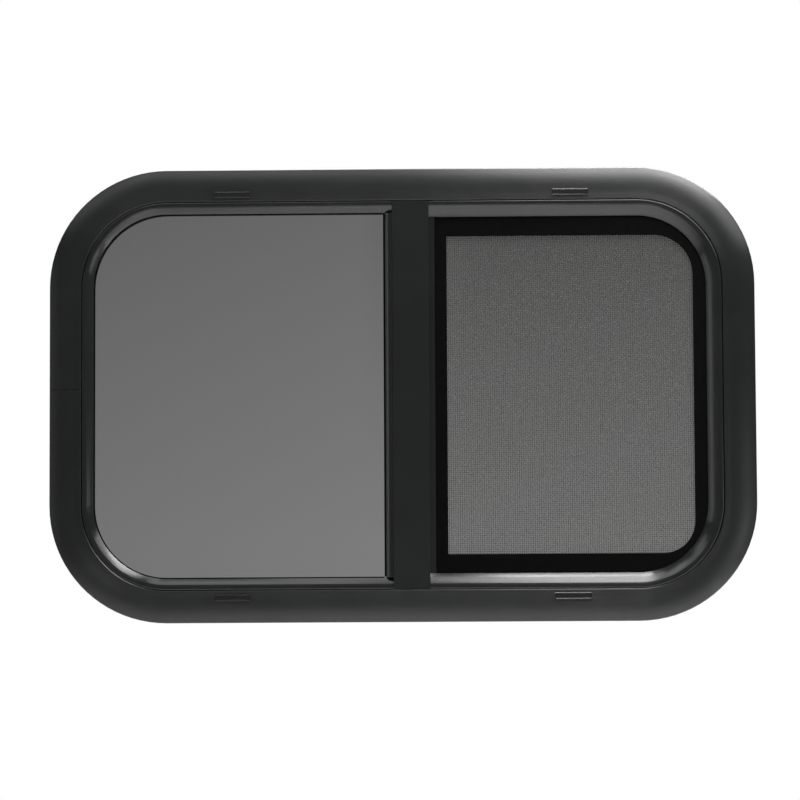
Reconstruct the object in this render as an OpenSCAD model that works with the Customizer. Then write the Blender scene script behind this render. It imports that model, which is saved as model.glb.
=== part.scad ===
// Half-slider window for a caravan or camper wall, seen and named from outside.
// A bent aluminium frame holds a fixed tinted pane on the left, and a flyscreen in
// front of a sliding pane on the right. A clamp ring inside grips the wall.
// The origin is the middle of the opening on the plane of the outer wall skin.
// X runs to the right seen from outside, Z runs up, and the outside is towards -Y.

/* [Wall] */
// Width of the hole cut in the wall
cutout_w = 610; // [520:1:900]
// Height of the hole cut in the wall
cutout_h = 381; // [300:1:600]
// Corner radius of the hole cut in the wall
cutout_r = 91; // [85:1:120]
// Thickness of the wall between its two skins
wall_t = 38; // [34:1:60]
// Room between the frame and the edge of the hole
cutout_gap = 2; // [1:0.25:4]

/* [Flange] */
// How far the flange covers the wall round the hole
flange_lap = 16; // [13:0.5:20]
// How far the flange stands out from the wall
flange_h = 7.2; // [7:0.1:9]
// Width of the flange from its rim to the step at the bead
flange_w = 29.3; // [29:0.1:29.8]
// Thickness of the sealing strip behind the flange
wall_seal_t = 3; // [2:0.25:3.25]
// Radius of the outer roll of the flange face
roll_r = 36; // [30:1:60]
// Where the outer roll is highest, from the rim
roll_top = 15.5; // [15:0.25:16]
// How much lower than the roll the flat land beside the bead lies
land_drop = 0.5; // [0.3:0.05:0.6]
// Radius of the shallow hollow between the roll and the land
hollow_r = 60; // [40:1:80]
// Radius of the flange's edge at the rim
rim_edge_r = 2; // [1.8:0.1:2.4]
// Radius of the flange's edge at the step
step_edge_r = 1; // [0.6:0.1:1.4]
// Width of the foot turned in behind the rim
foot_w = 3; // [2:0.25:4]
// Thickness of that foot
foot_t = 1.2; // [1:0.1:1.6]
// Height of the frame's butt joint on the left side, from the middle of the window
joint_z = 6; // [-40:1:40]
// Width of the hairline that shows at that joint
joint_gap = 0.3; // [0.2:0.05:0.5]

/* [Frame section] */
// Thickness of the extruded walls
skin_t = 1.6; // [1.2:0.1:2]
// Thickness of the two track ribs
rib_t = 1.4; // [1.2:0.1:1.5]
// Depth of the frame body behind the wall face
body_d = 30; // [28:0.5:32]
// Depth of the rib behind the fixed pane and the flyscreen
mid_rib_d = 8.2; // [7.8:0.1:9]
// How far the middle rib reaches in from the rim
mid_rib_in = 40.2; // [40:0.1:40.4]
// How far the inner rib reaches in from the rim
inner_rib_in = 39.5; // [38.5:0.25:40]
// Clear width of the track that the sliding pane runs in
track_w = 6.6; // [6.2:0.1:7.4]
// Width of the block at the inner end that takes the ring screws
chase_w = 9; // [8:0.5:10]
// Depth of that block
chase_d = 7; // [6:0.5:9]
// Width of the screw groove in that block
groove_w = 3.4; // [3:0.1:4]

/* [Beads] */
// Radius of the beads' shoulder
shoulder_r = 9; // [8:0.25:10]
// How far the shoulder's curve turns down
shoulder_turn = 25; // [20:1:28]
// Radius of the beads' flatter face below the shoulder
bead_r = 26; // [24:0.5:30]
// How much lower than the flange's land the beads' top lies
bead_drop = 0.5; // [0.3:0.1:0.8]
// Thickness of the beads
bead_t = 1.5; // [1.3:0.1:1.6]
// Radius of the beads' outer edge along the flange
bead_edge_r = 1.3; // [1:0.1:1.4]
// How far the left bead reaches in from the rim
left_bead_in = 40.3; // [39.8:0.1:40.5]
// How far the right bead reaches in from the rim
right_bead_in = 44; // [43.5:0.25:45]

/* [Panes] */
// Thickness of the toughened glass
glass_t = 4; // [3:0.5:4.5]
// Inset of the fixed pane's edge from the rim
fixed_in = 31.5; // [31.25:0.25:34]
// Inset of the edge of the rubber seal that shows round the fixed pane
seal_in = 41.2; // [41.1:0.1:42]
// How far the lip along the edge of that seal stands up beside the bead
seal_lip = 1.2; // [0.8:0.1:1.5]
// Inset of the sliding pane's edge from the rim
slider_in = 24.3; // [23:0.1:26]
// Thickness of the lining in the sliding pane's track
lining_t = 0.9; // [0.6:0.1:1]

/* [Mullion] */
// Left edge of the mullion's face from the middle of the window
mullion_left = -8.1; // [-9:0.1:-7.5]
// Width of the mullion's face
mullion_w = 33; // [32:0.1:35]
// Width of the glazing strip along the mullion's left side
strip_w = 6.6; // [6:0.1:7]
// Width of the seal that shows between that strip and the fixed pane
strip_seal_w = 1.8; // [1.5:0.1:2.2]
// Width of the ledge along the mullion's right side
ledge_w = 5.3; // [4.5:0.1:5.6]
// Thickness of that ledge
ledge_t = 1.2; // [1:0.1:1.6]
// How far the fixed pane runs in behind the mullion's face
fixed_tuck = 3.1; // [2.5:0.1:4]

/* [Flyscreen] */
// Distance from the middle of the window to the left edge of the mesh
mesh_left = 41.3; // [40.5:0.1:43]
// Inset of the right edge of the mesh from the rim
mesh_right_in = 55.6; // [55:0.1:60]
// Inset of the upper and lower edges of the mesh from the rim
mesh_edge_in = 61.3; // [60:0.1:64]
// Corner radius of the mesh at the upper right
mesh_top_r = 36; // [20:1:45]
// Corner radius of the mesh at the lower right
mesh_low_r = 29; // [20:1:45]
// Width of the flyscreen frame along the mullion
rail_w = 15.8; // [14:0.1:16]
// Inset of the flyscreen frame's outer edge from the rim
screen_in = 38.6; // [38.4:0.1:39]
// Width of the cord that holds the mesh in its groove
spline_w = 3.6; // [3:0.1:4.5]
// Thickness of the mesh
mesh_t = 0.4; // [0.3:0.05:0.6]

/* [Weep covers] */
// Length of the covers over the drain slots
weep_l = 33; // [28:0.5:40]
// Width of the covers
weep_w = 6.2; // [5.5:0.1:6.4]
// How far the covers stand out from the flange's land
weep_t = 1.3; // [1:0.1:1.6]
// Distance from the rim to the middle line of the covers
weep_in = 22.9; // [22.5:0.1:23.5]
// Distance from the middle of the window to the middle of each cover
weep_x = 154; // [120:1:180]

/* [Clamp ring] */
// Inset of the ring's outer edge from the rim of the flange
ring_in = 6; // [4:0.5:9]
// How far the ring reaches in from the rim of the flange
ring_reach = 29; // [28.5:0.25:32]
// Thickness of the ring
ring_t = 1.6; // [1.2:0.1:2]
// Diameter of the screw holes in the ring
screw_d = 4.4; // [4:0.1:5]
// Spacing of the screws along the top and bottom
screw_step = 120; // [90:1:130]

/* [Sliding pane fittings] */
// How far the sliding pane starts behind the mullion's left edge
slider_tuck = 2.1; // [1.6:0.1:3]
// Width of the stile along the sliding pane's left edge
stile_w = 24; // [21:0.5:25]
// How far the stile stands past the sliding pane's edge
stile_lip = 6; // [5:0.25:7]
// How far the stile stands back from the inner rib
stile_stand = 2.4; // [2:0.1:4]
// Length of the latch on the stile
latch_l = 70; // [50:1:100]
// Width of the latch
latch_w = 16; // [14:0.5:18]
// How far the latch's grip stands out from the stile
latch_d = 8; // [7:0.5:10]
// Thickness of the latch's base
latch_base_t = 2; // [1.5:0.1:2.2]
// Width of the latch's grip
grip_w = 7; // [6:0.5:8]
// Radius of the finger groove along the grip
grip_groove_r = 2.4; // [2:0.1:2.5]
// Height of the latch's tongue
tongue_h = 18; // [12:1:24]
// Thickness of the tongue
tongue_t = 2.5; // [2:0.1:3]
// How far the tongue reaches past the stile
tongue_reach = 4; // [3:0.25:5]
// Height of the keeper that the tongue hooks behind
keeper_h = 30; // [24:1:40]
// Length of each of the sliding pane's two glides
glide_l = 24; // [16:1:30]
// Width of the pile strip between the mullion and the sliding pane
pile_w = 5; // [3:0.5:5]

/* [Hidden] */
$fn = 96;

// Clearance between pieces that seat on each other
seat = 0.2;
// Length that a cutter runs past the face it cuts
over = 1;
// Clearance round what slides
run_gap = 0.5;
// How far the keeper stands back past the stile
keeper_stand = 1.5;
// Width of the rim round the sunk middle of a weep cover, and the cut on its edges
cover_rim = 0.7;
cover_cut = 0.3;
// Corner radius of the small moulded pieces
small_r = 1;
// Fineness of the large arcs of the sections
arc_fn = 240;
// How deep the flange's curves cross each other, so that they meet in clean edges
blend = 0.02;

// The flange's rim, from which every inset is measured
rim_w = cutout_w + 2 * flange_lap;
rim_h = cutout_h + 2 * flange_lap;
rim_r = cutout_r + flange_lap;
half_w = rim_w / 2;
half_h = rim_h / 2;
// Centre of the bend at the upper right corner
bend_x = half_w - rim_r;
bend_y = half_h - rim_r;

// Insets of the frame body
body_in = flange_lap + cutout_gap;
body_inner_in = body_in + skin_t;
chase_in = body_in + chase_w;
screw_in = body_in + (skin_t + chase_w) / 2;

// Heights, counted outwards from the wall face
glass_face = 0;
glass_back = glass_face - glass_t;
mid_rib_face = -mid_rib_d;
mid_rib_back = mid_rib_face - rib_t;
inner_rib_face = mid_rib_back - track_w;
inner_rib_back = inner_rib_face - rib_t;
land_h = flange_h - land_drop;
bead_top = land_h - bead_drop;

// The flange's curves: the edge at the rim, the roll and the hollow run into each other
rim_edge_h = flange_h - roll_r + sqrt(pow(roll_r - rim_edge_r, 2) - pow(roll_top - rim_edge_r, 2)) + blend / 4;
rim_edge_end = roll_top - roll_r * (roll_top - rim_edge_r) / (roll_r - rim_edge_r);
hollow_turn = acos(1 - land_drop / (roll_r + hollow_r));
hollow_x = roll_top + (roll_r + hollow_r) * sin(hollow_turn);

// The beads' curves: the shoulder starts at the crown and runs into the face
bead_start = flange_w + 2 * seat;
crown_x = bead_start + bead_edge_r;
face_x = crown_x - (bead_r - shoulder_r) * sin(shoulder_turn);
face_h = bead_top - shoulder_r - (bead_r - shoulder_r) * cos(shoulder_turn);
bead_mid_r = bead_r - bead_t / 2;
bead_end_r = bead_t / 2 - seat / 4;
left_bead_low = bead_low(left_bead_in);
right_bead_low = bead_low(right_bead_in);
seal_top = left_bead_low - seat;

// Heights of the sliding pane
slider_front = mid_rib_back - (track_w - glass_t) / 2;
slider_back = slider_front - glass_t;

// Places across the window
mullion_right = mullion_left + mullion_w;
strip_left = mullion_left - strip_w;
fixed_right = mullion_left + fixed_tuck;
mullion_wall_left = fixed_right + 1;
mullion_half_l = half_h - flange_w - 2 * seat;
mullion_face = bead_top + seat / 2;

// The flyscreen's place, between the right bead and the middle rib
screen_front = right_bead_low - seat;
screen_back = mid_rib_face + seat;
mesh_right = half_w - mesh_right_in;
mesh_half_h = half_h - mesh_edge_in;
screen_left = mesh_left - rail_w;
screen_leg_in = screen_in - seat;
spline_off = 4;
rebate_d = 1;
ledge_right = mullion_right + ledge_w;
mullion_wall_right = min(screen_left - run_gap, mullion_right);

// The sliding pane's place when shut
slider_left = mullion_left + slider_tuck;
stile_left = slider_left - stile_lip;
stile_right = stile_left + stile_w;
stile_half_l = half_h - mid_rib_in - 2 * run_gap;
stile_front = mid_rib_face - run_gap;
stile_back = inner_rib_back - stile_stand;
keeper_back = stile_back - keeper_stand;
pile_left = stile_right + 1;

lining_in = inner_rib_in - 2;

// The ring's place
ring_seat = -body_d - seat;
ring_face = -wall_t;

// How far a bead's face has turned down where the bead ends.
function bead_turn(reach) = asin((reach - bead_end_r - face_x) / bead_mid_r);

// Height of a bead's lowest point, at the round end of its face.
function bead_low(reach) = face_h + bead_mid_r * cos(bead_turn(reach)) - bead_end_r;

// Turns the model from lying face up to standing in the wall.
module stand() {
  rotate([90, 0, 0]) children();
}

// Places a section, drawn as inset and height, at a bend's radius.
module at_bend() {
  translate([rim_r, 0]) mirror([1, 0]) children();
}

// One quarter bend of a section.
module bend(x, y, turn) {
  translate([x, y, 0]) rotate([0, 0, turn]) rotate_extrude(angle = 90) at_bend() children();
}

// One straight length of a section, facing the way that turn gives.
module straight(x, y, turn, l) {
  translate([x, y, 0]) rotate([0, 0, turn]) rotate([90, 0, 0])
    linear_extrude(l, center = true) at_bend() children();
}

// A section bent all the way round the window.
module all_round() {
  bend(bend_x, bend_y, 0) children();
  bend(-bend_x, bend_y, 90) children();
  bend(-bend_x, -bend_y, 180) children();
  bend(bend_x, -bend_y, 270) children();
  straight(bend_x, 0, 0, 2 * bend_y) children();
  straight(0, bend_y, 90, 2 * bend_x) children();
  straight(-bend_x, 0, 180, 2 * bend_y) children();
  straight(0, -bend_y, 270, 2 * bend_x) children();
}

// A section bent round the right side only, with its ends at x_end.
module right_round(x_end) {
  l = bend_x - x_end;
  bend(bend_x, bend_y, 0) children();
  bend(bend_x, -bend_y, 270) children();
  straight(bend_x, 0, 0, 2 * bend_y) children();
  straight(x_end + l / 2, bend_y, 90, l) children();
  straight(x_end + l / 2, -bend_y, 270, l) children();
}

// The same round the left side.
module left_round(x_end) {
  mirror([1, 0, 0]) right_round(-x_end) children();
}

// A rectangle with its top at top_h, as inset and height.
module bar(in_from, in_to, low_h, top_h) {
  translate([in_from, low_h]) square([in_to - in_from, top_h - low_h]);
}

// A pane outline: square at x_square, with round corners at x_round.
module pane(x_square, x_round, half, r_top, r_low) {
  l = abs(x_round - x_square);
  translate([x_square, 0]) mirror([x_round < x_square ? 1 : 0, 0]) difference() {
    translate([0, -half]) square([l, 2 * half]);
    translate([l - r_top, half - r_top]) difference() {
      square(r_top + over);
      circle(r_top);
    }
    translate([l - r_low, -half + r_low]) mirror([0, 1]) difference() {
      square(r_low + over);
      circle(r_low);
    }
  }
}

// A rectangle with round corners, about its middle.
module soft_rect(w, h, r) {
  square([w - 2 * r, h], center = true);
  square([w, h - 2 * r], center = true);
  for (sx = [-1, 1], sy = [-1, 1]) translate([sx * (w / 2 - r), sy * (h / 2 - r)]) circle(r);
}

// A flat piece between two heights.
module plate(low_h, top_h) {
  translate([0, 0, low_h]) linear_extrude(top_h - low_h) children();
}

// A slice of a disc, between two angles counted from straight up.
module slice(r, a0, a1) {
  intersection() {
    circle(r, $fn = arc_fn);
    polygon([[0, 0], 2 * r * [sin(a0), cos(a0)], 2 * r * [sin(a1), cos(a1)]]);
  }
}

// A curved wall of thickness t inside the radius r.
module band(r, t, a0, a1) {
  difference() {
    slice(r, a0, a1);
    circle(r - t, $fn = arc_fn);
  }
}

// What lies under the flange's roll, hollow and land, all drawn in by t.
module flange_fill(t) {
  roll_end = roll_top + (roll_r - t) * sin(hollow_turn);
  translate([roll_top, flange_h - roll_r]) circle(roll_r - t, $fn = arc_fn);
  difference() {
    bar(roll_end, hollow_x, -over, flange_h);
    translate([hollow_x, land_h + hollow_r - blend]) circle(hollow_r + t, $fn = arc_fn);
  }
  bar(roll_end, flange_w, -over, land_h - t);
}

// The flange's skin, with round edges at the rim and at the step.
module flange_section() {
  difference() {
    intersection() {
      flange_fill(0);
      bar(0, flange_w, 0, flange_h + over);
    }
    difference() {
      bar(-over, rim_edge_end, rim_edge_h, flange_h);
      translate([rim_edge_r, rim_edge_h]) circle(rim_edge_r);
    }
    translate([flange_w - step_edge_r, land_h - step_edge_r]) difference() {
      square(step_edge_r + over);
      circle(step_edge_r);
    }
    intersection() {
      flange_fill(skin_t);
      bar(skin_t, flange_w - skin_t, -over, flange_h);
    }
  }
  bar(flange_w - skin_t, flange_w, mid_rib_back, land_h - step_edge_r);
}

// Section of the outer frame: flange, foot, body web, ribs and screw block in one extrusion.
module frame_section() {
  flange_section();
  bar(0, foot_w, 0, foot_t);
  bar(body_in, body_inner_in, -body_d, land_h - skin_t / 2);
  bar(body_in, mid_rib_in, mid_rib_back, mid_rib_face);
  bar(body_in, inner_rib_in, inner_rib_back, inner_rib_face);
  difference() {
    bar(body_in, chase_in, -body_d, -body_d + chase_d);
    bar(screw_in - groove_w / 2, screw_in + groove_w / 2, -body_d - over, -body_d + chase_d - skin_t);
  }
}

// Drain slot through the flange, under a weep cover.
module drain_slot(sx, sy) {
  translate([sx * weep_x, sy * (half_h - weep_in), 0]) plate(flange_h - 3 * skin_t, flange_h + over)
    soft_rect(weep_l * 0.7, weep_w * 0.4, small_r);
}

// The hairline of a butt joint on the left side, through what lies above low_h.
module butt_joint(low_h) {
  translate([-half_w - over, joint_z - joint_gap / 2, low_h]) cube([seal_in + 2 * over, joint_gap, flange_h + over]);
}

module outer_frame() {
  color("#2b2d2f") stand() difference() {
    all_round() frame_section();
    for (sx = [-1, 1], sy = [-1, 1]) drain_slot(sx, sy);
    butt_joint(0);
  }
}

// Section of a bead: a leg beside the step, a round edge, the shoulder, and the face
// with its round end.
module bead_section(reach, leg_end) {
  turn = bead_turn(reach);
  bar(bead_start, bead_start + bead_t, leg_end, bead_top - bead_edge_r);
  translate([crown_x, bead_top - bead_edge_r]) slice(bead_edge_r, -90, 0);
  translate([crown_x, bead_top - shoulder_r]) band(shoulder_r, bead_t, 0, shoulder_turn);
  translate([face_x, face_h]) {
    band(bead_r, bead_t, shoulder_turn, turn);
    rotate(-turn) translate([0, bead_mid_r]) circle(bead_end_r);
  }
}

module left_bead() {
  color("#34373a") stand() left_round(mullion_left - seat) bead_section(left_bead_in, left_bead_low);
}

// The right bead has a second leg, which the flyscreen's frame sits inside.
module right_bead() {
  leg_end = mid_rib_face + seat;
  leg_x = screen_leg_in - bead_t / 2;
  leg_top = face_h + sqrt(pow(bead_mid_r, 2) - pow(leg_x - face_x, 2));
  color("#34373a") stand() right_round(mullion_right + seat) {
    bead_section(right_bead_in, leg_end);
    bar(screen_leg_in - bead_t, screen_leg_in, leg_end, leg_top);
  }
}

// Section of the mullion: face, two walls, and the rib behind the fixed pane.
module mullion_section() {
  t = skin_t;
  top = mullion_face;
  bar(mullion_left, mullion_right, top - t, top);
  bar(mullion_wall_left, mullion_wall_left + t, mid_rib_face, top - t / 2);
  bar(mullion_wall_right - t, mullion_wall_right, mid_rib_face, top - t / 2);
  bar(strip_left, mullion_wall_right, mid_rib_face, mid_rib_face + t);
  bar(mullion_right - t, mullion_right, right_bead_low, top - t / 2);
}

module centre_mullion() {
  ledge_l = 2 * (half_h - right_bead_in - seat);
  color("#2b2d2f") stand() rotate([90, 0, 0]) {
    linear_extrude(2 * mullion_half_l, center = true) mullion_section();
    linear_extrude(ledge_l, center = true)
      bar(mullion_right - skin_t, ledge_right, right_bead_low, right_bead_low + ledge_t);
  }
}

// The strip that holds the fixed pane along the mullion, rounded up to the mullion's face.
module mullion_strip() {
  l = 2 * (half_h - left_bead_in - seat);
  r = strip_w + 1;
  x1 = mullion_left - seat;
  color("#34373a") stand() rotate([90, 0, 0]) linear_extrude(l, center = true) {
    intersection() {
      translate([x1, bead_top - r]) band(r, bead_t, -90, 0);
      bar(strip_left, x1, left_bead_low, bead_top);
    }
    bar(x1 - bead_t, x1, left_bead_low, bead_top - bead_t / 2);
  }
}

module fixed_glass() {
  color("#6e7275") stand() plate(glass_back, glass_face)
    pane(fixed_right, -(half_w - fixed_in), half_h - fixed_in, rim_r - fixed_in, rim_r - fixed_in);
}

// The rubber channel round the fixed pane's top, left and bottom edges.
module fixed_glass_seal() {
  color("#0d0e0f") stand() difference() {
    left_round(strip_left - strip_seal_w) {
      bar(flange_w + seat, fixed_in, mid_rib_face, seal_top);
      bar(fixed_in, seal_in, glass_face, seal_top);
      bar(left_bead_in + seat, seal_in, glass_face, seal_top + seal_lip);
      bar(fixed_in, mid_rib_in, mid_rib_face, glass_back);
    }
    butt_joint(seal_top / 2);
  }
}

// The straight seal between the fixed pane and the mullion.
module mullion_seal() {
  l = 2 * (half_h - seal_in - seat);
  x0 = strip_left - strip_seal_w;
  color("#0d0e0f") stand() rotate([90, 0, 0]) linear_extrude(l, center = true) {
    bar(x0, mullion_wall_left - seat, glass_face, seal_top);
    bar(x0, mullion_wall_left - seat, mid_rib_face + skin_t, glass_back);
    bar(fixed_right, mullion_wall_left - seat, glass_back, glass_face);
  }
}

module sliding_glass() {
  color("#5f6366") stand() plate(slider_back, slider_front)
    pane(slider_left, half_w - slider_in, half_h - slider_in, rim_r - slider_in, rim_r - slider_in);
}

// The stile is a channel that holds the sliding pane's left edge.
module sliding_stile() {
  color("#2b2d2f") stand() rotate([90, 0, 0])
    linear_extrude(2 * stile_half_l, center = true) difference() {
      bar(stile_left, stile_right, stile_back, stile_front);
      bar(slider_left, stile_right + over, slider_back, slider_front);
    }
}

// The latch: a base on the stile, a grip with a finger groove, and a tongue that
// hooks behind the keeper.
module slide_latch() {
  x0 = stile_right - latch_w - 2;
  tongue_back = keeper_back - seat - tongue_t;
  color("#161718") stand() difference() {
    union() {
      translate([x0 + latch_w / 2, 0, 0]) plate(stile_back - latch_base_t, stile_back)
        soft_rect(latch_w, latch_l, 3 * small_r);
      translate([x0 + grip_w / 2, 0, 0]) plate(stile_back - latch_d, stile_back)
        soft_rect(grip_w, latch_l - latch_w, 3 * small_r);
      translate([stile_left - tongue_reach, -tongue_h / 2, tongue_back])
        cube([x0 + small_r - stile_left + tongue_reach, tongue_h, tongue_t]);
    }
    translate([x0 + grip_w + grip_groove_r / 2, 0, stile_back - latch_base_t - grip_groove_r]) rotate([90, 0, 0])
      cylinder(h = latch_l, r = grip_groove_r, center = true);
  }
}

// The keeper stands on the mullion's rib beside the stile.
module latch_keeper() {
  color("#161718") stand() translate([strip_left, -keeper_h / 2, keeper_back])
    cube([stile_left - 2 * seat - strip_left, keeper_h, mid_rib_face - keeper_back]);
}

// The flocked channel that the sliding pane runs in.
module track_lining() {
  color("#121314") stand() all_round() {
    bar(body_inner_in, body_inner_in + lining_t, inner_rib_face, mid_rib_back);
    bar(body_inner_in, lining_in, inner_rib_face, inner_rib_face + lining_t);
    bar(body_inner_in, lining_in, mid_rib_back - lining_t, mid_rib_back);
  }
}

// A glide under the sliding pane, standing in the lined track.
module glide(x) {
  glide_in = body_inner_in + lining_t;
  color("#e8e6e0") stand() translate([x, -(half_h - glide_in), slider_back])
    cube([glide_l, slider_in - glide_in, glass_t]);
}

module left_glide() {
  glide(stile_right + glide_l);
}

module right_glide() {
  glide(bend_x - 1.5 * glide_l);
}

// The pile strip on the mullion's back that brushes the sliding pane.
module meeting_pile() {
  color("#161718") stand() rotate([90, 0, 0]) linear_extrude(2 * (half_h - mid_rib_in - seat), center = true)
    bar(pile_left, pile_left + pile_w, slider_front + seat, mid_rib_face);
}

// The flyscreen's frame, with a rebate and a groove for the mesh on its back.
module flyscreen_frame() {
  color("#141516") stand() difference() {
    plate(screen_back, screen_front) pane(
      screen_left, half_w - screen_in, half_h - screen_in, rim_r - screen_in, rim_r - screen_in);
    plate(screen_back - over, screen_front + over) pane(mesh_left, mesh_right, mesh_half_h, mesh_top_r, mesh_low_r);
    plate(screen_back - over, screen_back + rebate_d) pane(
      mesh_left - spline_off, mesh_right + spline_off, mesh_half_h + spline_off,
      mesh_top_r + spline_off, mesh_low_r + spline_off);
    plate(screen_back - over, screen_back + spline_w) spline_outline(0);
  }
}

// The closed path of the spline groove, drawn in by t on both sides.
module spline_outline(t) {
  a = spline_off + t;
  b = spline_off + spline_w - t;
  difference() {
    pane(mesh_left - b, mesh_right + b, mesh_half_h + b, mesh_top_r + b, mesh_low_r + b);
    pane(mesh_left - a, mesh_right + a, mesh_half_h + a, mesh_top_r + a, mesh_low_r + a);
  }
}

module flyscreen_mesh() {
  a = spline_off - 0.1;
  color("#4a4c4d") stand() plate(screen_back + rebate_d - mesh_t, screen_back + rebate_d)
    pane(mesh_left - a, mesh_right + a, mesh_half_h + a, mesh_top_r + a, mesh_low_r + a);
}

module flyscreen_spline() {
  color("#0f1011") stand() plate(screen_back, screen_back + spline_w - 0.1) spline_outline(0.1);
}

// Section of a weep cover: cut edges at the top, and an underside that fits the hollow.
module weep_section() {
  half = weep_w / 2;
  top = land_h + weep_t;
  intersection() {
    translate([weep_in, 0]) polygon([
      [-half, 0], [-half, top - cover_cut], [-half + cover_cut, top],
      [half - cover_cut, top], [half, top - cover_cut], [half, 0]
    ]);
    translate([hollow_x, land_h + hollow_r]) circle(hollow_r, $fn = arc_fn);
  }
}

// Section of the sunk middle of a weep cover, with sloped sides.
module weep_sink() {
  half = weep_w / 2 - cover_rim;
  top = land_h + weep_t;
  depth = weep_t / 2;
  translate([weep_in, 0]) polygon([
    [-half + depth, top - depth], [half - depth, top - depth], [half + over, top + over], [-half - over, top + over]
  ]);
}

// A cover over a drain slot: a moulded rim round a sunk middle.
module weep_cover(sx, sy) {
  turn = sy > 0 ? 90 : 270;
  color("#3a3d40") stand() difference() {
    straight(sx * weep_x, sy * bend_y, turn, weep_l) weep_section();
    straight(sx * weep_x, sy * bend_y, turn, weep_l - 2 * cover_rim) weep_sink();
  }
}

module top_left_weep_cover() {
  weep_cover(-1, 1);
}

module top_right_weep_cover() {
  weep_cover(1, 1);
}

module bottom_left_weep_cover() {
  weep_cover(-1, -1);
}

module bottom_right_weep_cover() {
  weep_cover(1, -1);
}

// The sealing strip in the hollow of the flange, against the wall.
module wall_seal() {
  color("#3d3f41") stand() all_round() bar(foot_w + seat, body_in - seat, 0, wall_seal_t);
}

// Where the ring's screws go, round the frame's screw groove.
function screw_places() = concat(
  [for (i = [-1.5:1:1.5], sy = [-1, 1]) [i * screw_step, sy * (half_h - screw_in)]],
  [for (sx = [-1, 1], sy = [-1, 1]) [sx * (half_w - screw_in), sy * bend_y * 0.6]],
  [for (sx = [-1, 1], sy = [-1, 1])
    [sx * (bend_x + (rim_r - screw_in) * sin(45)), sy * (bend_y + (rim_r - screw_in) * cos(45))]]
);

// Section of the clamp ring: a face with round edges, a web and a leg for the screws.
module ring_section() {
  intersection() {
    union() {
      translate([ring_in + ring_t, ring_face]) circle(ring_t);
      translate([body_in, ring_face]) circle(ring_t);
      bar(ring_in + ring_t, body_in, ring_face - ring_t, ring_face);
    }
    bar(ring_in, body_in + ring_t, ring_face - ring_t, ring_face);
  }
  bar(body_in, body_in + ring_t, ring_face, ring_seat);
  bar(body_in, ring_reach, ring_seat - ring_t, ring_seat);
}

module clamp_ring() {
  color("#2b2d2f") stand() difference() {
    all_round() ring_section();
    for (p = screw_places()) translate([p[0], p[1], 0]) plate(ring_seat - ring_t - over, ring_seat + over)
      circle(d = screw_d, $fn = 32);
  }
}

outer_frame();
left_bead();
right_bead();
centre_mullion();
mullion_strip();
fixed_glass();
fixed_glass_seal();
mullion_seal();
sliding_glass();
sliding_stile();
slide_latch();
latch_keeper();
track_lining();
left_glide();
right_glide();
meeting_pile();
flyscreen_frame();
flyscreen_mesh();
flyscreen_spline();
top_left_weep_cover();
top_right_weep_cover();
bottom_left_weep_cover();
bottom_right_weep_cover();
wall_seal();
clamp_ring();
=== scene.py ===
# %% [markdown]
# # A half-slider caravan window
# The frame is bent from one black aluminium extrusion. A tinted pane is fixed in its left half,
# and a flyscreen stands in front of the sliding pane in its right half. The solids come from the
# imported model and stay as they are. This lesson gives them their finishes, and adds what a solid
# model leaves out: the woven mesh and the screws.

# %% Load the solids
import math

import bmesh
import bpy
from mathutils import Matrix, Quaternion, Vector


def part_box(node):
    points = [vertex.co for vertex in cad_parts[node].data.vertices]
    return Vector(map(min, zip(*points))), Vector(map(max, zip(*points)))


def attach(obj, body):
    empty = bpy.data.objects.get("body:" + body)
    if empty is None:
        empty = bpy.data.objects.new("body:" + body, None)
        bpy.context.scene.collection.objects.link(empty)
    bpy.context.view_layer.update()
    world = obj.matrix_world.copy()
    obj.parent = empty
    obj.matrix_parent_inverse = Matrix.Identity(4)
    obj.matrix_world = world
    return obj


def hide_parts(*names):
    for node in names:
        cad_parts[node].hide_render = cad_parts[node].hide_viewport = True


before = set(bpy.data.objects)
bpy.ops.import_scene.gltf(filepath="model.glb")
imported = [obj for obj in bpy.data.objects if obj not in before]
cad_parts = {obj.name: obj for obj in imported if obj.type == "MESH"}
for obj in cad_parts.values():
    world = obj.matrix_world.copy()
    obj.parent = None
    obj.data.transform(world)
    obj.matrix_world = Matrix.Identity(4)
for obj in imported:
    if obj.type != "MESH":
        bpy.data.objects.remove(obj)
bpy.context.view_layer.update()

# %% [markdown]
# ## The camera
# A product photograph of a flat thing is taken from far away with a long lens, so that its
# sides stay parallel. The camera stands a little below the middle of the window, because the
# recessed parts sit slightly lower in the picture than they would from straight ahead. It leans
# by a fraction of a degree, as the edges of the window do in the picture.

# %% Place the camera
# Distances are in metres. The picture's width is measured at the window.
DISTANCE = 3.0
PICTURE_WIDTH = 0.7276
ELEVATION = math.radians(-4.2)
AZIMUTH = math.radians(1.3)
ROLL = math.radians(-0.30)
SENSOR_MM = 36.0
aim = Vector((-0.0018, 0.0, -0.0049))


def direction(elevation, azimuth):
    """The direction from the window to a point at these angles, with the front at zero."""
    level = math.cos(elevation)
    return Vector((math.sin(azimuth) * level, -math.cos(azimuth) * level, math.sin(elevation)))


back = direction(ELEVATION, AZIMUTH)
camera_data = bpy.data.cameras.new("camera")
camera_data.sensor_width = SENSOR_MM
camera_data.lens = camera_data.sensor_width * DISTANCE / PICTURE_WIDTH
camera = bpy.data.objects.new("camera", camera_data)
bpy.context.scene.collection.objects.link(camera)
camera.location = aim + back * DISTANCE
look = (-back).to_track_quat("-Z", "Y")
look.rotate(Quaternion(back, ROLL))
camera.rotation_mode = "QUATERNION"
camera.rotation_quaternion = look
bpy.context.scene.camera = camera
print("lens:", round(camera_data.lens, 1), "mm")

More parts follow.
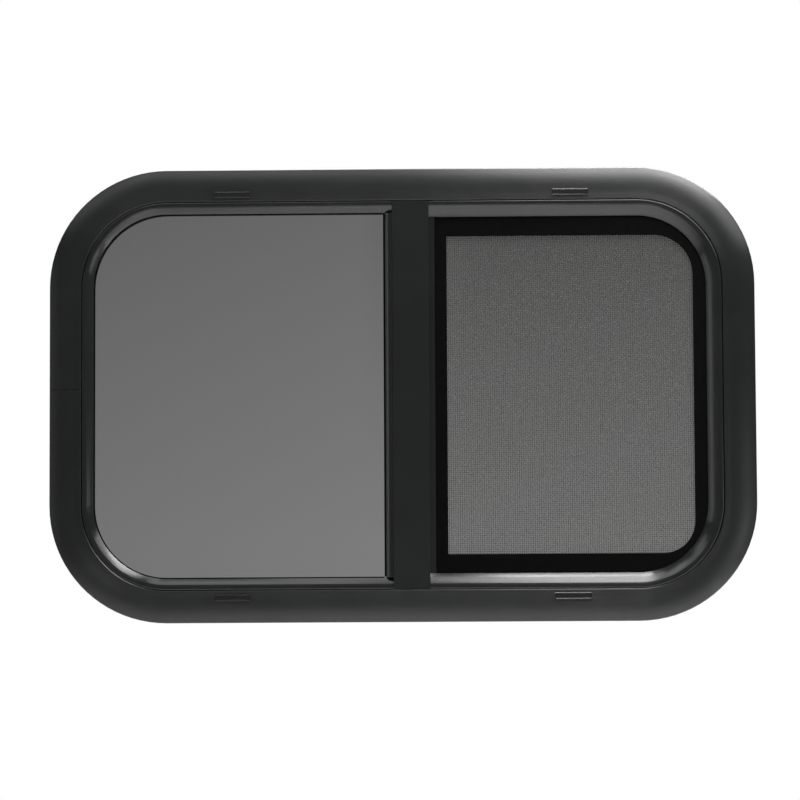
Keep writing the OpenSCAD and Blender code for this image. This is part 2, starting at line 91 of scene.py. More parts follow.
# %% [markdown]
# ## Helpers for the finishes
# A colour is written as the hex value that a colour picker shows on a screen, and turned to
# the linear value that a shader works with. One function adds a node, with its settings and
# what goes into it. A pattern's scale is worked out from a real size in millimetres, because
# the solids are in metres.

# %% Colour and node helpers
def linear(hex_colour):
    """The linear colour of an sRGB hex value such as #2a2b2d."""
    parts = [int(hex_colour[i : i + 2], 16) / 255 for i in (1, 3, 5)]
    return (*[c / 12.92 if c <= 0.04045 else ((c + 0.055) / 1.055) ** 2.4 for c in parts], 1.0)


def add(tree, kind, settings=None, inputs=None):
    """Adds a node, sets its settings, and fills its inputs with values or with other outputs."""
    made = tree.nodes.new(kind)
    for name, value in (settings or {}).items():
        setattr(made, name, value)
    for name, value in (inputs or {}).items():
        if isinstance(value, bpy.types.NodeSocket):
            tree.links.new(value, made.inputs[name])
        else:
            made.inputs[name].default_value = value
    return made


def new_finish(name, colour, roughness, **sockets):
    """A material with one shader. Gives the material, its tree, the shader and its coordinates."""
    material = bpy.data.materials.new(name)
    material.use_nodes = True
    tree = material.node_tree
    shader = tree.nodes["Principled BSDF"]
    shader.inputs["Base Color"].default_value = linear(colour)
    shader.inputs["Roughness"].default_value = roughness
    for socket, value in sockets.items():
        shader.inputs[socket.replace("_", " ")].default_value = value
    place = add(tree, "ShaderNodeTexCoord").outputs["Object"]
    print("finish:", name)
    return material, tree, shader, place


print("the grey #808080 is", round(linear("#808080")[0], 3), "of white light")

# %% [markdown]
# No surface is quite even. A noise gives blots of a chosen size, and three more helpers turn its
# values into a little more or less gloss, into a slightly different colour, or into fine bumps.
# Most of a noise lies between three and seven tenths, so that range is stretched to the whole.

# %% Uneven surfaces
NOISE_LOW = 0.3
NOISE_HIGH = 0.7


def per_mm(size):
    """The texture scale at which a pattern repeats about every size millimetres."""
    return 1000.0 / size


def grain(tree, place, size, detail=3.0):
    """A noise whose blots are about size millimetres across, from 0 to 1."""
    values = {"Vector": place, "Scale": per_mm(size), "Detail": detail}
    return add(tree, "ShaderNodeTexNoise", {}, values).outputs["Fac"]


def ramp_on(tree, value, low_at, high_at, low, high):
    """A number that goes from low to high as the value goes from low_at to high_at."""
    values = {"Value": value, "From Min": low_at, "From Max": high_at, "To Min": low, "To Max": high}
    return add(tree, "ShaderNodeMapRange", {}, values).outputs["Result"]


def between(tree, noise, low, high):
    """Turns a noise into a number from low to high."""
    return ramp_on(tree, noise, NOISE_LOW, NOISE_HIGH, low, high)


def blend_colours(tree, noise, first, second):
    """Turns a noise into a colour from first to second."""
    ramp = add(tree, "ShaderNodeValToRGB", {}, {"Fac": noise})
    for element, at, colour in zip(ramp.color_ramp.elements, (NOISE_LOW, NOISE_HIGH), (first, second)):
        element.position = at
        element.color = linear(colour)
    return ramp.outputs["Color"]


def bumps(tree, shader, height, depth_mm):
    """Raises the surface where height is high, by up to depth_mm."""
    values = {"Height": height, "Distance": depth_mm / 1000, "Strength": 1.0}
    raised = add(tree, "ShaderNodeBump", {}, values).outputs["Normal"]
    tree.links.new(raised, shader.inputs["Normal"])


print("a 2 mm pattern has the scale", per_mm(2.0))

# %% [markdown]
# ## Black coats on extrusions
# The frame, the mullion, the beads, the stile and the clamp ring are extruded aluminium with a
# baked powder coat. The die leaves fine lines along each extrusion, and the coat follows them.
# Such a surface spreads its highlights across the lines and hardly along them: the level sides
# of the window catch the lights above and below, and the upright sides stay dark. An even gloss
# would be simpler, but it can't be dark on one side and light on the next. So the shader is
# anisotropic, and its tangent points across the lines. On bent pieces that direction turns with
# the corner, which is worked out from the radius of the rim.

# %% The direction across the die lines
RIM_RADIUS = 0.107
NEARLY_ZERO = 0.00001
rim_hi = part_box("outer_frame")[1]
BEND_X = rim_hi.x - RIM_RADIUS
BEND_Z = rim_hi.z - RIM_RADIUS


def vector_step(tree, operation, first, second=(0.0, 0.0, 0.0)):
    """One step of vector arithmetic in a material's tree."""
    node = add(tree, "ShaderNodeVectorMath", {"operation": operation}, {0: first, 1: second})
    return node.outputs["Vector"]


def across_the_lines(tree, place, bent):
    """The direction across the die lines, on a piece that follows the rim or on an upright one."""
    if bent:
        past = vector_step(tree, "ABSOLUTE", place)
        past = vector_step(tree, "SUBTRACT", past, (BEND_X, 1.0, BEND_Z))
        past = vector_step(tree, "MAXIMUM", past, (NEARLY_ZERO, 0.0, 0.0))
        outward = vector_step(tree, "MULTIPLY", past, vector_step(tree, "SIGN", place))
        outward = vector_step(tree, "NORMALIZE", outward)
        along = vector_step(tree, "CROSS_PRODUCT", outward, (0.0, 1.0, 0.0))
    else:
        along = add(tree, "ShaderNodeCombineXYZ", {}, {"Z": 1.0}).outputs["Vector"]
    facing = tree.nodes.new("ShaderNodeNewGeometry").outputs["Normal"]
    return vector_step(tree, "CROSS_PRODUCT", facing, along)


print("the bends start at x", round(BEND_X, 4), "and z", round(BEND_Z, 4))

# %% [markdown]
# The powder melts into a skin with very shallow ripples, known as orange peel, so its gloss is
# slightly uneven. The ripples are drawn 1.6 mm apart on the frame, wider than the real 0.5 mm,
# because finer ones would vanish between two pixels. The thin beads have a smoother coat that
# shines a little more.

# %% Powder coats
# The ripples' spacing and depth are in millimetres, and so are the clouds of shade and of gloss.
FRAME_COAT = {
    "darkest": "#0a0b0b", "lightest": "#0d0e0e", "roughness": 0.33, "ripple": 1.6, "depth": 0.003,
}
SMOOTH_COAT = {
    "darkest": "#0d0e0e", "lightest": "#101111", "roughness": 0.20, "ripple": 2.2, "depth": 0.002,
}
SHADE_CLOUDS = 45.0
GLOSS_CLOUDS = 18.0
UNEVEN_GLOSS = 0.02


def extruded_coat(name, bent, darkest, lightest, roughness, ripple, depth):
    """A black coat on an extrusion, which is bent round the rim or upright."""
    material, tree, shader, place = new_finish(name, darkest, roughness, IOR=1.5, Anisotropic=0.8)
    colour = blend_colours(tree, grain(tree, place, SHADE_CLOUDS), darkest, lightest)
    gloss_noise = grain(tree, place, GLOSS_CLOUDS)
    gloss = between(tree, gloss_noise, roughness - UNEVEN_GLOSS, roughness + UNEVEN_GLOSS)
    tree.links.new(colour, shader.inputs["Base Color"])
    tree.links.new(gloss, shader.inputs["Roughness"])
    tree.links.new(across_the_lines(tree, place, bent), shader.inputs["Tangent"])
    bumps(tree, shader, grain(tree, place, ripple, 2.0), depth)
    return material


powder_coat = extruded_coat("black powder coat", True, **FRAME_COAT)
upright_coat = extruded_coat("black powder coat on uprights", False, **FRAME_COAT)
bead_coat = extruded_coat("satin black bead coat", True, **SMOOTH_COAT)
strip_coat = extruded_coat("satin black strip coat", False, **SMOOTH_COAT)

# %% [markdown]
# ## Matt black on the flyscreen's frame
# The flyscreen's frame sits deep in the recess and has a flatter coat, so it is the darkest
# part of the window. It reflects little, which the shader's specular level says.

# %% Screen coat
screen_coat, tree, shader, place = new_finish(
    "matt black screen coat", "#020202", 0.5, IOR=1.5, Specular_IOR_Level=0.05
)
tree.links.new(between(tree, grain(tree, place, 6.0), 0.46, 0.56), shader.inputs["Roughness"])
bumps(tree, shader, grain(tree, place, 1.2, 2.0), 0.01)

# %% [markdown]
# ## Tinted glass
# Caravan panes are often grey all through. Light is cut down once on its way through, and the
# two smooth faces reflect a few hundredths of it. A shader that transmits does both. Its
# colour is what is left of white light behind it. A faint haze of cleaning marks varies the
# gloss very little.

# %% Glass
tinted_glass, tree, shader, place = new_finish(
    "grey tinted glass", "#5d5d5d", 0.0, IOR=1.5, Transmission_Weight=1.0
)
tree.links.new(between(tree, grain(tree, place, 60.0), 0.0, 0.012), shader.inputs["Roughness"])

# %% [markdown]
# ## Rubber, foam and nylon
# Glazing rubber is extruded: black, nearly matt and slightly waxy. The strip behind the flange
# is closed-cell foam, full of small bubbles. The weep covers and the latch are moulded nylon
# with a fine spark texture, and the glides are nylon left in its natural milky colour.

# %% Rubber
glazing_rubber, tree, shader, place = new_finish(
    "black glazing rubber", "#020202", 0.45, IOR=1.45, Specular_IOR_Level=0.06
)
tree.links.new(between(tree, grain(tree, place, 9.0), 0.4, 0.52), shader.inputs["Roughness"])
bumps(tree, shader, grain(tree, place, 1.5), 0.015)

# %% Foam
seal_foam, tree, shader, place = new_finish("closed-cell foam", "#2c2d2e", 0.9, IOR=1.4)
cells = add(tree, "ShaderNodeTexVoronoi", {}, {"Vector": place, "Scale": per_mm(1.1)})
bubble_pits_and_painted_shade = cells.outputs["Distance"]
# Each bubble is darker towards its middle, where the bump sinks it: painted shade in the pits.
tree.links.new(blend_colours(tree, bubble_pits_and_painted_shade, "#1b1c1c", "#353637"), shader.inputs["Base Color"])
bumps(tree, shader, bubble_pits_and_painted_shade, 0.15)

# %% Black nylon
black_nylon, tree, shader, place = new_finish("black moulded nylon", "#101011", 0.24, IOR=1.53)
tree.links.new(between(tree, grain(tree, place, 4.0), 0.22, 0.27), shader.inputs["Roughness"])
bumps(tree, shader, grain(tree, place, 0.9), 0.012)

# %% Natural nylon
white_nylon, tree, shader, place = new_finish(
    "natural nylon", "#dedbd0", 0.45, IOR=1.53, Subsurface_Weight=0.2, Subsurface_Scale=0.001
)
milky = blend_colours(tree, grain(tree, place, 5.0), "#d6d3c8", "#e3e0d6")
tree.links.new(milky, shader.inputs["Base Color"])
bumps(tree, shader, grain(tree, place, 1.0), 0.01)

# %% [markdown]
# ## Brush pile
# The pile strip, and the flock that lines the rubber of the track, are short dense fibres.
# Fibres have no gloss of their own, but they catch light along their tips, which the sheen of
# the shader gives. The noise is stretched along Y, the way that the fibres stand.

# %% Pile
STRETCH_ALONG_Y = (1.0, 0.12, 1.0)
brush_pile, tree, shader, place = new_finish(
    "black brush pile", "#101011", 0.95, Sheen_Weight=0.4, Sheen_Roughness=0.5
)
stretched = add(tree, "ShaderNodeMapping", {}, {"Vector": place, "Scale": STRETCH_ALONG_Y})
fibres = grain(tree, stretched.outputs["Vector"], 0.8, 2.0)
tree.links.new(blend_colours(tree, fibres, "#0a0a0b", "#1d1d1f"), shader.inputs["Base Color"])
bumps(tree, shader, fibres, 0.2)

# %% [markdown]
# ## Coated glass-fibre thread
# Insect mesh is woven from glass-fibre thread in a grey vinyl coat. Each thread dips behind
# the next one across it, so its light comes and goes along its length. The weave is too fine
# to bend each thread, so the shade changes a little along it instead.

# %% Thread
mesh_thread, tree, shader, place = new_finish(
    "coated glass-fibre thread", "#3e3e3c", 0.6, IOR=1.5, Specular_IOR_Level=0.3
)
shades = blend_colours(tree, grain(tree, place, 3.5, 4.0), "#3b3b39", "#424240")
tree.links.new(shades, shader.inputs["Base Color"])

# %% [markdown]
# ## Blackened steel
# The ring's screws are steel, blackened in a hot bath. The black layer is thin, so the metal's
# gloss still comes through it. A metal keeps the shader's own index of refraction.

# %% Screws' steel
black_steel, tree, shader, place = new_finish("blackened steel", "#3a3b3d", 0.38, Metallic=1.0)
tree.links.new(between(tree, grain(tree, place, 1.5), 0.32, 0.45), shader.inputs["Roughness"])

# %% [markdown]
# ## Dressing the solids
# Each solid keeps its shape and takes its finish in its own material slot.

# %% Dress every node
FINISHES = {
    powder_coat: ["outer_frame", "clamp_ring"],
    upright_coat: ["centre_mullion", "sliding_stile"],
    bead_coat: ["left_bead", "right_bead"],
    strip_coat: ["mullion_strip"],
    screen_coat: ["flyscreen_frame"],
    tinted_glass: ["fixed_glass", "sliding_glass"],
    glazing_rubber: ["fixed_glass_seal", "mullion_seal", "flyscreen_spline"],
    brush_pile: ["meeting_pile", "track_lining"],
    seal_foam: ["wall_seal"],
    black_nylon: ["slide_latch", "latch_keeper", "top_left_weep_cover", "top_right_weep_cover",
                  "bottom_left_weep_cover", "bottom_right_weep_cover"],
    white_nylon: ["left_glide", "right_glide"],
    mesh_thread: ["flyscreen_mesh"],
}
for material, names in FINISHES.items():
    for name in names:
        for material_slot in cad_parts[name].material_slots:
            material_slot.material = material
print("dressed:", sum(len(names) for names in FINISHES.values()), "nodes")

# %% [markdown]
# ## Three helpers for Geometry Nodes
# What repeats is made by Geometry Nodes. The first helper starts a tree with named inputs and
# a geometry output. The second one ends it. The third one puts the tree on an object, sets its
# inputs, and turns the result into a plain mesh, because the exported model can't hold instances.

# %% Tree helpers
def new_tree(name, sizes=()):
    """An empty tree with a geometry input, float inputs for the sizes and a material input."""
    tree = bpy.data.node_groups.new(name, "GeometryNodeTree")
    tree.interface.new_socket(name="Geometry", in_out="INPUT", socket_type="NodeSocketGeometry")
    for size in sizes:
        tree.interface.new_socket(name=size, in_out="INPUT", socket_type="NodeSocketFloat")
    tree.interface.new_socket(name="Material", in_out="INPUT", socket_type="NodeSocketMaterial")
    tree.interface.new_socket(name="Geometry", in_out="OUTPUT", socket_type="NodeSocketGeometry")
    return tree, tree.nodes.new("NodeGroupInput").outputs


def end_tree(tree, geometry, material):
    """Ends a tree: real geometry instead of instances, with the material on it."""
    real = add(tree, "GeometryNodeRealizeInstances", {}, {"Geometry": geometry})
    dressed = add(tree, "GeometryNodeSetMaterial", {},
                  {"Geometry": real.outputs["Geometry"], "Material": material})
    out = tree.nodes.new("NodeGroupOutput")
    tree.links.new(dressed.outputs["Geometry"], out.inputs["Geometry"])


def grow(name, tree, start_mesh, sizes, material):
    """Runs the tree on a mesh and gives an object with the finished plain mesh."""
    source = bpy.data.objects.new(name + "_source", start_mesh)
    bpy.context.scene.collection.objects.link(source)
    modifier = source.modifiers.new(name, "NODES")
    modifier.node_group = tree
    for item in tree.interface.items_tree:
        if item.in_out == "INPUT" and item.name in sizes:
            modifier[item.identifier] = float(sizes[item.name])
        if item.in_out == "INPUT" and item.name == "Material":
            modifier[item.identifier] = material
    graph = bpy.context.evaluated_depsgraph_get()
    mesh = bpy.data.meshes.new_from_object(source.evaluated_get(graph), depsgraph=graph)
    mesh.name = name
    bpy.data.objects.remove(source)
    grown = bpy.data.objects.new(name, mesh)
    bpy.context.scene.collection.objects.link(grown)
    mesh.calc_loop_triangles()
    print(name, "has", len(mesh.loop_triangles), "triangles")
    return grown


# %% [markdown]
# ## The woven mesh
# The mesh is stretched over the opening of the flyscreen's frame, with round corners on its
# right side. A picture of a weave with holes could be drawn on a sheet, but a lattice of real
# threads also looks right at a slant. The real threads are about 1.5 mm apart. They are drawn a
# little wider apart, as the mesh looks in the picture, because closer ones would blur to a plain
# grey. The tree needs arithmetic, so a helper adds one step of it at a time.

# %% Arithmetic in the mesh tree
MESH_SIZES = ["Left", "Right", "Half Height", "Top Radius", "Low Radius",
              "Pitch X", "Pitch Z", "Thread", "Depth"]
mesh_tree, size = new_tree("woven mesh", MESH_SIZES)


def maths(operation, *values):
    """One step of arithmetic in the mesh tree, on numbers or on outputs."""
    node = add(mesh_tree, "ShaderNodeMath", {"operation": operation}, dict(enumerate(values)))
    return node.outputs[0]


def corner_cut(radius, distance):
    """How much a round corner takes off a thread that runs at this distance from its side."""
    inside = maths("MAXIMUM", maths("SUBTRACT", radius, distance), 0.0)
    squares = maths("SUBTRACT", maths("MULTIPLY", radius, radius), maths("MULTIPLY", inside, inside))
    return maths("SUBTRACT", radius, maths("SQRT", squares))


print("the mesh tree takes", len(MESH_SIZES), "sizes")

# %% [markdown]
# Upright threads lie behind, level threads in front. Each thread ends where the round corner
# cuts it, by Pythagoras on the corner's radius. A thread is one rod of six sides, stretched to
# its length and set on its own point.

# %% One family of threads
ROD_SIDES = 6
QUARTER_TURN = math.radians(90)


def upright_ends(at):
    """The lower and the upper end of an upright thread at this x."""
    from_side = maths("MAXIMUM", maths("SUBTRACT", size["Right"], at), 0.0)
    high = maths("SUBTRACT", size["Half Height"], corner_cut(size["Top Radius"], from_side))
    low = maths("SUBTRACT", corner_cut(size["Low Radius"], from_side), size["Half Height"])
    return low, high


def level_ends(at):
    """The left and the right end of a level thread at this z."""
    from_side = maths("SUBTRACT", size["Half Height"], maths("ABSOLUTE", at))
    above = maths("GREATER_THAN", at, 0.0)
    below = maths("SUBTRACT", 1.0, above)
    radius = maths("ADD", maths("MULTIPLY", above, size["Top Radius"]),
                   maths("MULTIPLY", below, size["Low Radius"]))
    return size["Left"], maths("SUBTRACT", size["Right"], corner_cut(radius, from_side))


def threads(span, pitch, start, upright):
    """One family of threads, as many as fit the span at this pitch."""
    count = maths("FLOOR", maths("DIVIDE", span, pitch))
    index = mesh_tree.nodes.new("GeometryNodeInputIndex").outputs[0]
    at = maths("ADD", start, maths("MULTIPLY", maths("ADD", index, 0.5), pitch))
    low, high = upright_ends(at) if upright else level_ends(at)
    middle = maths("MULTIPLY", maths("ADD", high, low), 0.5)
    length = maths("SUBTRACT", high, low)
    depth = maths("ADD", size["Depth"], maths("MULTIPLY", size["Thread"], 0.5 if upright else -0.5))
    spot = {"X": at, "Y": depth, "Z": middle} if upright else {"X": middle, "Y": depth, "Z": at}
    line = add(mesh_tree, "GeometryNodeMeshLine", {}, {"Count": count})
    place = add(mesh_tree, "ShaderNodeCombineXYZ", {}, spot)
    points = add(mesh_tree, "GeometryNodeSetPosition", {},
                 {"Geometry": line.outputs["Mesh"], "Position": place.outputs[0]})
    rod = add(mesh_tree, "GeometryNodeMeshCylinder", {"fill_type": "NGON"},
              {"Vertices": ROD_SIDES, "Radius": maths("MULTIPLY", size["Thread"], 0.5), "Depth": 1.0})
    stretch = add(mesh_tree, "ShaderNodeCombineXYZ", {}, {"X": 1.0, "Y": 1.0, "Z": length})
    turn = (0.0, 0.0, 0.0) if upright else (0.0, QUARTER_TURN, 0.0)
    family = add(mesh_tree, "GeometryNodeInstanceOnPoints", {},
                 {"Points": points.outputs["Geometry"], "Instance": rod.outputs["Mesh"],
                  "Rotation": turn, "Scale": stretch.outputs[0]})
    return family.outputs["Instances"]


wide = maths("SUBTRACT", size["Right"], size["Left"])
tall = maths("MULTIPLY", size["Half Height"], 2.0)
low_edge = maths("MULTIPLY", size["Half Height"], -1.0)
warp = threads(wide, size["Pitch X"], size["Left"], True)
weft = threads(tall, size["Pitch Z"], low_edge, False)
join = mesh_tree.nodes.new("GeometryNodeJoinGeometry")
for family in (warp, weft):
    mesh_tree.links.new(family, join.inputs["Geometry"])
end_tree(mesh_tree, join.outputs["Geometry"], size["Material"])
print("the mesh tree has", len(mesh_tree.nodes), "nodes")

# %% [markdown]
# The woven mesh fills the outline of the thin solid sheet that stands in for it, and takes that
# sheet's place. The flyscreen's frame hides its outer edge, so the corner radii are those of the
# sheet, a little larger than the ones that show.

# %% Weave the mesh
sheet_lo, sheet_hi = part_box("flyscreen_mesh")
woven_mesh = grow("woven_mesh", mesh_tree, bpy.data.meshes.new("mesh_start"), {
    "Left": sheet_lo.x,
    "Right": sheet_hi.x,
    "Half Height": sheet_hi.z,
    "Top Radius": 0.0399,
    "Low Radius": 0.0329,
    "Pitch X": 0.0020,
    "Pitch Z": 0.0018,
    "Thread": 0.0004,
    "Depth": (sheet_lo.y + sheet_hi.y) / 2,
}, mesh_thread)
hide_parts("flyscreen_mesh")
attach(woven_mesh, "root")

# %% [markdown]
# ## The clamp ring's screws
# Sixteen pan-head screws draw the ring to the frame. Their heads are pressed to a low dome with
# a cross recess. One screw is built in mesh code, as rings of vertices round its axis, and a
# Boolean cuts the recess.

# %% One screw without its recess
# Sizes are in metres, as in every mesh here.
HEAD_RADIUS = 0.0039
HEAD_HEIGHT = 0.0022
SHANK_RADIUS = 0.0017
SHANK_LENGTH = 0.006
SCREW_SIDES = 16
# Each point of the dome is a part of the head's radius and of its height.
DOME = [(0.45, 0.97), (0.8, 0.75), (1.0, 0.35), (1.0, 0.0)]


def pan_head():
    """A pan-head screw along Y, with its head's seat at zero and its head towards +Y."""
    profile = [(HEAD_RADIUS * out, HEAD_HEIGHT * up) for out, up in DOME]
    profile += [(SHANK_RADIUS, 0.0), (SHANK_RADIUS, -SHANK_LENGTH)]
    turns = [i * math.tau / SCREW_SIDES for i in range(SCREW_SIDES)]
    made = bmesh.new()
    rings = []
    for radius, y in profile:
        corners = [(radius * math.cos(turn), y, radius * math.sin(turn)) for turn in turns]
        rings.append([made.verts.new(corner) for corner in corners])
    for upper, lower in zip(rings, rings[1:]):
        for i in range(SCREW_SIDES):
            made.faces.new((upper[i], upper[i - 1], lower[i - 1], lower[i]))
    made.faces.new(rings[0])
    made.faces.new(rings[-1])
    bmesh.ops.recalc_face_normals(made, faces=made.faces)
    mesh = bpy.data.meshes.new("pan_head")
    made.to_mesh(mesh)
    made.free()
    return mesh


blank = bpy.data.objects.new("screw_blank", pan_head())
bpy.context.scene.collection.objects.link(blank)
print("one blank:", len(blank.data.polygons), "faces")

# %% Cut the cross recess
RECESS_LENGTH = 0.0042
RECESS_WIDTH = 0.0008
cutter_mesh = bpy.data.meshes.new("recess")
recess = bmesh.new()
for wide_x, wide_z in ((RECESS_LENGTH, RECESS_WIDTH), (RECESS_WIDTH, RECESS_LENGTH)):
    bmesh.ops.create_cube(recess, size=1.0)
    for vertex in recess.verts[-8:]:
        y = vertex.co.y * HEAD_HEIGHT + HEAD_HEIGHT
        vertex.co = Vector((vertex.co.x * wide_x, y, vertex.co.z * wide_z))
recess.to_mesh(cutter_mesh)
recess.free()
cutter = bpy.data.objects.new("recess", cutter_mesh)
bpy.context.scene.collection.objects.link(cutter)
cut = blank.modifiers.new("cross recess", "BOOLEAN")
cut.object = cutter
cut.operation = "DIFFERENCE"
cut.solver = "EXACT"
cut.use_self = True
graph = bpy.context.evaluated_depsgraph_get()
screw_mesh = bpy.data.meshes.new_from_object(blank.evaluated_get(graph), depsgraph=graph)
for made in (blank, cutter):
    bpy.data.objects.remove(made)
screw = bpy.data.objects.new("screw_pattern", screw_mesh)
print("one screw:", len(screw_mesh.polygons), "faces")

# %% [markdown]
# Eight screws stand in the level sides, four in the upright sides and one in each bend, all at
# the same distance from the rim. A tree sets the screw on these points and turns each by its own
# angle, as hand-driven screws are.

# %% Set the screws
# The side screws stand at a part of the straight side's half height.
FROM_RIM = 0.0233
SCREW_STEP = 0.120
SIDE_SCREW = 0.6
SEAT_Y = 0.0318
HALF_RIGHT_ANGLE = math.radians(45)
SPIN_SEED = 7
CORNERS = [(sx, sz) for sx in (-1, 1) for sz in (-1, 1)]
slant = (RIM_RADIUS - FROM_RIM) * math.sin(HALF_RIGHT_ANGLE)
row_x = rim_hi.x - FROM_RIM
row_z = rim_hi.z - FROM_RIM
places = [(i * SCREW_STEP, side * row_z) for i in (-1.5, -0.5, 0.5, 1.5) for side in (-1, 1)]
places += [(sx * row_x, sz * BEND_Z * SIDE_SCREW) for sx, sz in CORNERS]
places += [(sx * (BEND_X + slant), sz * (BEND_Z + slant)) for sx, sz in CORNERS]
dots = bpy.data.meshes.new("screw_places")
dots.from_pydata([(x, SEAT_Y, z) for x, z in places], [], [])

screw_tree, outputs = new_tree("ring screws")
pattern = add(screw_tree, "GeometryNodeObjectInfo", {}, {"Object": screw})
angle = add(screw_tree, "FunctionNodeRandomValue", {"data_type": "FLOAT"},
            {"Max": math.tau, "Seed": SPIN_SEED})
spin = add(screw_tree, "ShaderNodeCombineXYZ", {}, {"Y": angle.outputs[1]})
set_out = add(screw_tree, "GeometryNodeInstanceOnPoints", {},
              {"Points": outputs["Geometry"], "Instance": pattern.outputs["Geometry"],
               "Rotation": spin.outputs[0]})
end_tree(screw_tree, set_out.outputs["Instances"], outputs["Material"])
ring_screws = grow("ring_screws", screw_tree, dots, {}, black_steel)
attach(ring_screws, "root")

# %% [markdown]
# ## Floor
# A pale disc lies below the window and fades into the white background. From the front it lies
# below the picture, where it only bounces a little light up to the window.

# %% Floor
FLOOR_Z = -0.45
FLOOR_RADIUS = 1.7
FADE_FROM = 0.7
FADE_TO = 1.6
floor_mesh = bpy.data.meshes.new("floor")
disc = bmesh.new()
bmesh.ops.create_circle(disc, cap_ends=True, radius=FLOOR_RADIUS, segments=96)
bmesh.ops.translate(disc, verts=disc.verts, vec=(0.0, 0.0, FLOOR_Z))
disc.to_mesh(floor_mesh)
disc.free()
floor = bpy.data.objects.new("floor", floor_mesh)
bpy.context.scene.collection.objects.link(floor)
floor_paint, tree, shader, place = new_finish("pale studio floor", "#e9e9e8", 0.8)
away = add(tree, "ShaderNodeVectorMath", {"operation": "LENGTH"}, {0: place}).outputs["Value"]
tree.links.new(ramp_on(tree, away, FADE_FROM, FADE_TO, 1.0, 0.0), shader.inputs["Alpha"])
floor.data.materials.append(floor_paint)

# %% [markdown]
# ## Soft boxes
# A soft box is a lamp behind a wide white cloth. The rim of the picture is brightest at its
# upper right, so the strong ones stand high on the right. Weaker ones light the rim from above,
# from the left and from below, and two stand behind for a look at the back. The camera doesn't
# see them, and neither does a ray through the glass, so they show only as highlights.

# %% Soft boxes
# Angles are in degrees, seen from the window. Distances and sizes are in metres.
SOFT_BOXES = [
    # name, elevation, azimuth, distance, width, height, power in watts
    ("key_right", 57, 88, 1.0, 0.5, 0.45, 21.0),
    ("key_front", 55, 38, 1.0, 0.62, 0.45, 10.2),
    ("key_low", 35, 52, 1.0, 0.6, 0.45, 4.0),
    ("overhead", 78, 103, 1.0, 0.45, 0.3, 12.0),
    ("top", 75, 0, 1.5, 0.45, 0.45, 2.0),
    ("top_left", 55, -26, 1.5, 0.7, 0.45, 3.2),
    ("left_high", 38, -50, 1.5, 1.1, 0.45, 2.4),
    ("left_wall", 0, -74, 1.5, 0.55, 0.9, 2.0),
    ("low_right", -35, 50, 1.5, 0.45, 0.45, 7.5),
    ("low_middle", -35, 0, 1.5, 0.45, 0.45, 4.5),
    ("front_right", -8, 36, 1.5, 0.45, 0.45, 1.5),
    ("back_high", 40, 165, 2.0, 1.6, 0.8, 26.0),
    ("back_low", -40, 205, 2.0, 1.2, 0.6, 8.0),
]


def soft_box(name, elevation, azimuth, distance, width, height, power):
    """A rectangular light that faces the window."""
    spot = direction(math.radians(elevation), math.radians(azimuth)) * distance
    data = bpy.data.lights.new(name, "AREA")
    data.shape = "RECTANGLE"
    data.size = width
    data.size_y = height
    data.energy = power
    made = bpy.data.objects.new(name, data)
    bpy.context.scene.collection.objects.link(made)
    made.location = spot
    made.rotation_mode = "QUATERNION"
    made.rotation_quaternion = (-spot).to_track_quat("-Z", "Y")
    made.visible_camera = False
    made.visible_transmission = False


for row in SOFT_BOXES:
    soft_box(*row)
print("soft boxes:", len(SOFT_BOXES))

# %% [markdown]
# ## Background
# The background is plain white to the camera. Through the panes the camera sees two graded
# cards instead, because the left pane of the picture fades from light at its foot to darker at
# its top, and the right one fades more. Their brightness follows the direction of the ray: its Z
# part rises from the foot of a pane to its top, and its X part goes from left to right.

# %% Cards behind the panes
# The ray's Z part at the foot and top of the panes, and its X part at the left pane's sides and
# at the mullion.
FOOT = 0.03
TOP = 0.15
PANE_LEFT = -0.12
PANE_RIGHT = -0.03
MULLION_LEFT = -0.035
MULLION_RIGHT = 0.0
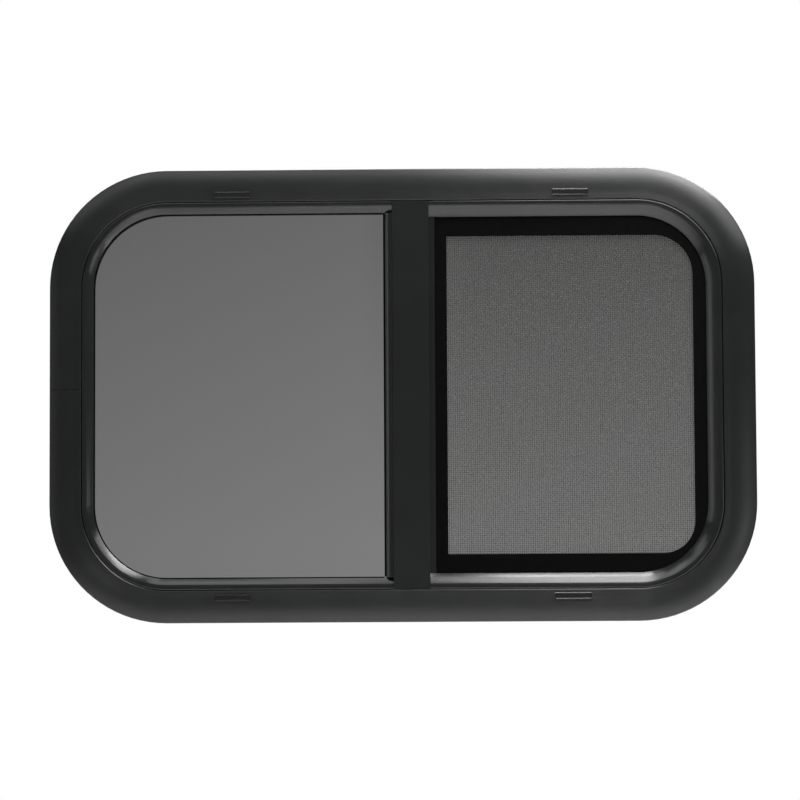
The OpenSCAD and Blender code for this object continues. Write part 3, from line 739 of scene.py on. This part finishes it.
# Each card's brightness at its foot and at its top, and how the left one changes sideways.
LEFT_CARD = (1.72, 1.08)
RIGHT_CARD = (1.8, 0.5)
LEFT_SIDEWAYS = (0.90, 1.06)
world = bpy.data.worlds.new("studio")
bpy.context.scene.world = world
world.use_nodes = True
tree = world.node_tree
ray = add(tree, "ShaderNodeTexCoord").outputs["Generated"]
way = add(tree, "ShaderNodeSeparateXYZ", {}, {"Vector": ray}).outputs


def mix(factor, first, second):
    """A number from first to second, by the factor."""
    return add(tree, "ShaderNodeMix", {}, {0: factor, 2: first, 3: second}).outputs[0]


rising = ramp_on(tree, way["Z"], FOOT, TOP, *LEFT_CARD)
sideways = ramp_on(tree, way["X"], PANE_LEFT, PANE_RIGHT, *LEFT_SIDEWAYS)
left_card = add(tree, "ShaderNodeMath", {"operation": "MULTIPLY"}, {0: rising, 1: sideways})
right_card = ramp_on(tree, way["Z"], FOOT, TOP, *RIGHT_CARD)
across = ramp_on(tree, way["X"], MULLION_LEFT, MULLION_RIGHT, 0.0, 1.0)
cards = mix(across, left_card.outputs[0], right_card)
print("cards from foot to top:", LEFT_CARD, RIGHT_CARD)

# %% [markdown]
# What the black coat reflects is neither the white nor the cards, but a dim even room, as in a
# studio with dark walls. The kind of ray decides: a ray from the camera or through glass meets
# the background, and any other ray meets the room.

# %% White for the camera, a dim room for the coat
ROOM = 0.22
WHITE = (1.0, 1.0, 1.0, 1.0)
rays = add(tree, "ShaderNodeLightPath").outputs
brightness = mix(rays["Is Camera Ray"], cards, 1.0)
straight = add(tree, "ShaderNodeMath", {"operation": "MAXIMUM"},
               {0: rays["Is Camera Ray"], 1: rays["Is Transmission Ray"]})
backdrop = add(tree, "ShaderNodeBackground", {}, {"Color": WHITE, "Strength": brightness})
room = tree.nodes["Background"]
room.inputs["Color"].default_value = WHITE
room.inputs["Strength"].default_value = ROOM
both = add(tree, "ShaderNodeMixShader", {},
           {0: straight.outputs[0], 1: room.outputs[0], 2: backdrop.outputs[0]})
tree.links.new(both.outputs[0], tree.nodes["World Output"].inputs["Surface"])
bpy.context.scene.view_settings.view_transform = "Standard"
print("room brightness:", ROOM)
